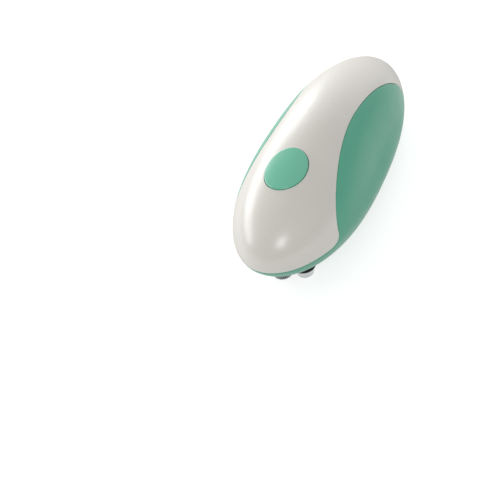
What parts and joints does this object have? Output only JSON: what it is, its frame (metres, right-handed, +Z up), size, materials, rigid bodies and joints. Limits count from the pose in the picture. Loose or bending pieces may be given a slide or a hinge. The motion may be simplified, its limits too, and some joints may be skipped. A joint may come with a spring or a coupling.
{
  "type": "electric can opener",
  "caption": "Handheld battery can opener: egg-shaped two-part housing, one power button, geared motor, serrated drive wheel, swinging cutter arm and lid magnet",
  "frame": {"origin": "middle of the footprint box, at the lowest point, the cap under the cutter", "axes": "+X from tail to nose, +Y across the body, +Z up, away from the can"},
  "size_m": [0.1855, 0.0673, 0.0634],
  "materials": {
    "shell_white": "glossy pearl-white ABS",
    "shell_mint": "satin mint ABS",
    "button_mint": "satin-gloss mint ABS",
    "black_plastic": "moulded black ABS",
    "gear_plastic": "natural acetal",
    "steel": "zinc-plated sheet and turned steel",
    "chrome_steel": "polished nickel-plated steel",
    "cutter_steel": "ground hardened stainless steel",
    "brass": "machined brass",
    "board_green": "solder-masked glass-epoxy board",
    "magnet_nickel": "nickel-plated disc magnet",
    "cell_wrap": "plain plastic wrap over steel can"
  },
  "bodies": {
    "housing": {"upper_shell": "shell_white", "lower_shell": "shell_mint", "button_spring": "steel", "circuit_board": "board_green", "micro_switch": "black_plastic", "board_screws": "steel", "motor_can": "steel", "motor_end_cap": "black_plastic", "motor_terminals": "brass", "motor_screws": "steel", "gear_pins": "steel", "gearbox_lower_plate": "steel", "gearbox_upper_plate": "steel", "gearbox_pillars": "brass", "gearbox_screws": "steel", "drive_bush": "brass", "mechanism_plate": "steel", "plate_screws": "chrome_steel", "arm_pivot": "chrome_steel", "lid_magnet": "magnet_nickel", "magnet_holder": "black_plastic", "battery_tray": "black_plastic", "battery_cells": "cell_wrap", "contact_springs": "steel", "contact_plates": "brass", "housing_screws": "steel"},
    "power_button": {"power_button": "button_mint"},
    "battery_door": {"battery_door": "shell_mint"},
    "motor_shaft": {"motor_shaft": "steel", "motor_pinion": "brass"},
    "gear_1": {"gear_1": "gear_plastic"},
    "gear_2": {"gear_2": "gear_plastic"},
    "gear_3": {"gear_3": "gear_plastic"},
    "drive": {"output_gear": "steel", "drive_shaft": "steel", "drive_wheel": "cutter_steel", "drive_nut": "steel"},
    "cutter_arm": {"cutter_arm": "steel", "cutter_axle": "steel", "cutter_cap": "chrome_steel"},
    "cutter_wheel": {"cutter_wheel": "cutter_steel"}
  },
  "joints": [
    {"name": "button_press", "type": "slide", "parent": "housing", "child": "power_button", "axis": [-0.1456, 0, -0.9893], "range_m": [0, 0.0012], "stiffness_N_per_m": 1500, "deforming": ["button_spring"]},
    {"name": "door_slide", "type": "slide", "parent": "housing", "child": "battery_door", "axis": [-1, 0, 0], "range_m": [0, 0.06]},
    {"name": "motor_spin", "type": "hinge", "parent": "housing", "child": "motor_shaft", "pos_m": [0.016, 0, 0.017], "axis": [0, 0, 1], "continuous": true},
    {"name": "gear_1_spin", "type": "hinge", "parent": "housing", "child": "gear_1", "pos_m": [0.0282, 0.00579, 0.02], "axis": [0, 0, 1], "continuous": true},
    {"name": "gear_2_spin", "type": "hinge", "parent": "housing", "child": "gear_2", "pos_m": [0.04024, -0.00264, 0.02], "axis": [0, 0, 1], "continuous": true},
    {"name": "gear_3_spin", "type": "hinge", "parent": "housing", "child": "gear_3", "pos_m": [0.05284, 0.0068, 0.022], "axis": [0, 0, 1], "continuous": true},
    {"name": "drive_spin", "type": "hinge", "parent": "housing", "child": "drive", "pos_m": [0.0651, -0.00512, 0.024], "axis": [0, 0, 1], "continuous": true},
    {"name": "arm_swing", "type": "hinge", "parent": "housing", "child": "cutter_arm", "pos_m": [0.04294, -0.0066, 0.0086], "axis": [0, 0, 1], "range_deg": [0, 15]},
    {"name": "cutter_spin", "type": "hinge", "parent": "cutter_arm", "child": "cutter_wheel", "pos_m": [0.0585, 0.0043, 0.0055], "axis": [0, 0, 1], "continuous": true}
  ],
  "couplings": [
    {"joint": "drive_spin", "follows": "gear_3_spin", "ratio": -0.35714},
    {"joint": "gear_2_spin", "follows": "gear_3_spin", "ratio": -3.0909},
    {"joint": "gear_1_spin", "follows": "gear_3_spin", "ratio": 10.678},
    {"joint": "motor_spin", "follows": "gear_3_spin", "ratio": -46.982}
  ]
}
